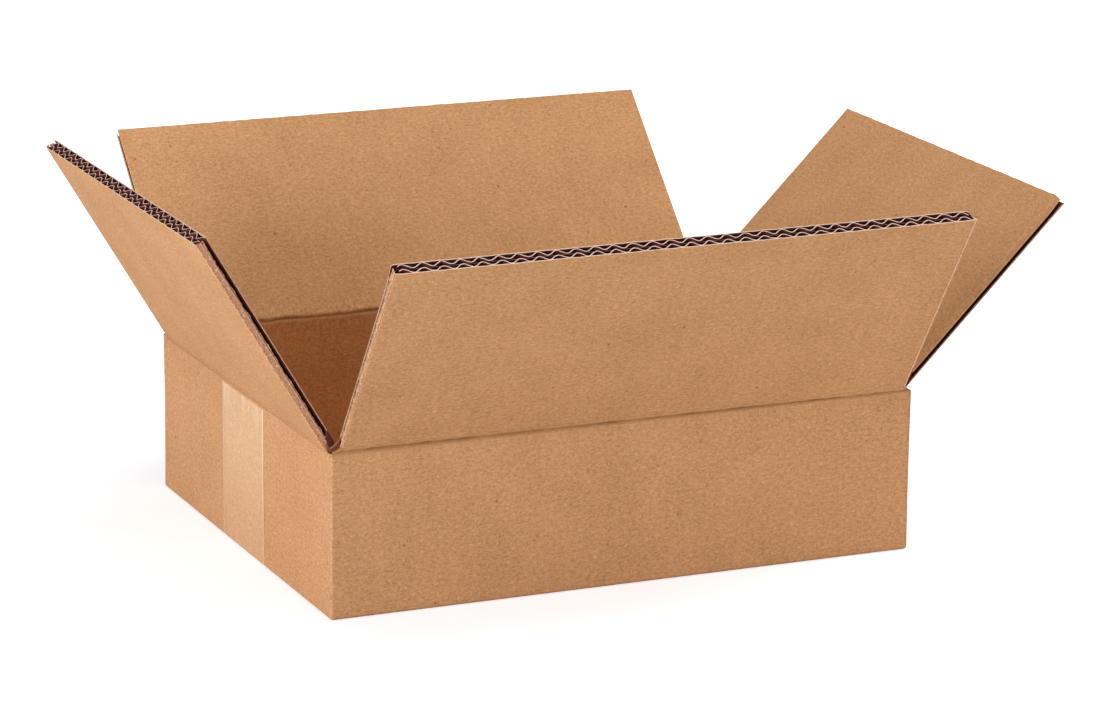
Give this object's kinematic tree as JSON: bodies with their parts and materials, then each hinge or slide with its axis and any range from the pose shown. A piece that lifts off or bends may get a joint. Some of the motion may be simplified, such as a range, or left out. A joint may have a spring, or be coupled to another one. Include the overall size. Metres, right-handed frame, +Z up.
{
  "type": "open double-wall corrugated cardboard box",
  "caption": "Shallow corrugated shipping box with a taped bottom and hinged top flaps standing open, to hold and close over goods.",
  "frame": {"origin": "centre of the box's base, on the surface it stands on", "axes": "+X along the box's length towards its right end, +Y across the width towards its back, +Z up"},
  "size_m": [0.3749, 0.3265, 0.1557],
  "materials": {
    "kraft_board": "matte",
    "packing_tape": "satin"
  },
  "bodies": {
    "box": {"box_body": "kraft_board", "bottom_tape": "packing_tape"},
    "front_flap": {"front_flap": "kraft_board"},
    "back_flap": {"back_flap": "kraft_board"},
    "left_flap": {"left_flap": "kraft_board"},
    "right_flap": {"right_flap": "kraft_board"}
  },
  "joints": [
    {"name": "front_flap_fold", "type": "hinge", "parent": "box", "child": "front_flap", "pos_m": [0, -0.099, 0.07068], "axis": [1, 0, 0], "range_deg": [-124, 96]},
    {"name": "back_flap_fold", "type": "hinge", "parent": "box", "child": "back_flap", "pos_m": [0, 0.099, 0.07039], "axis": [-1, 0, 0], "range_deg": [-136, 84]},
    {"name": "left_flap_fold", "type": "hinge", "parent": "box", "child": "left_flap", "pos_m": [-0.126, 0, 0.0668], "axis": [0, -1, 0], "range_deg": [-121, 99]},
    {"name": "right_flap_fold", "type": "hinge", "parent": "box", "child": "right_flap", "pos_m": [0.126, 0, 0.0668], "axis": [0, 1, 0], "range_deg": [-135, 85]}
  ]
}
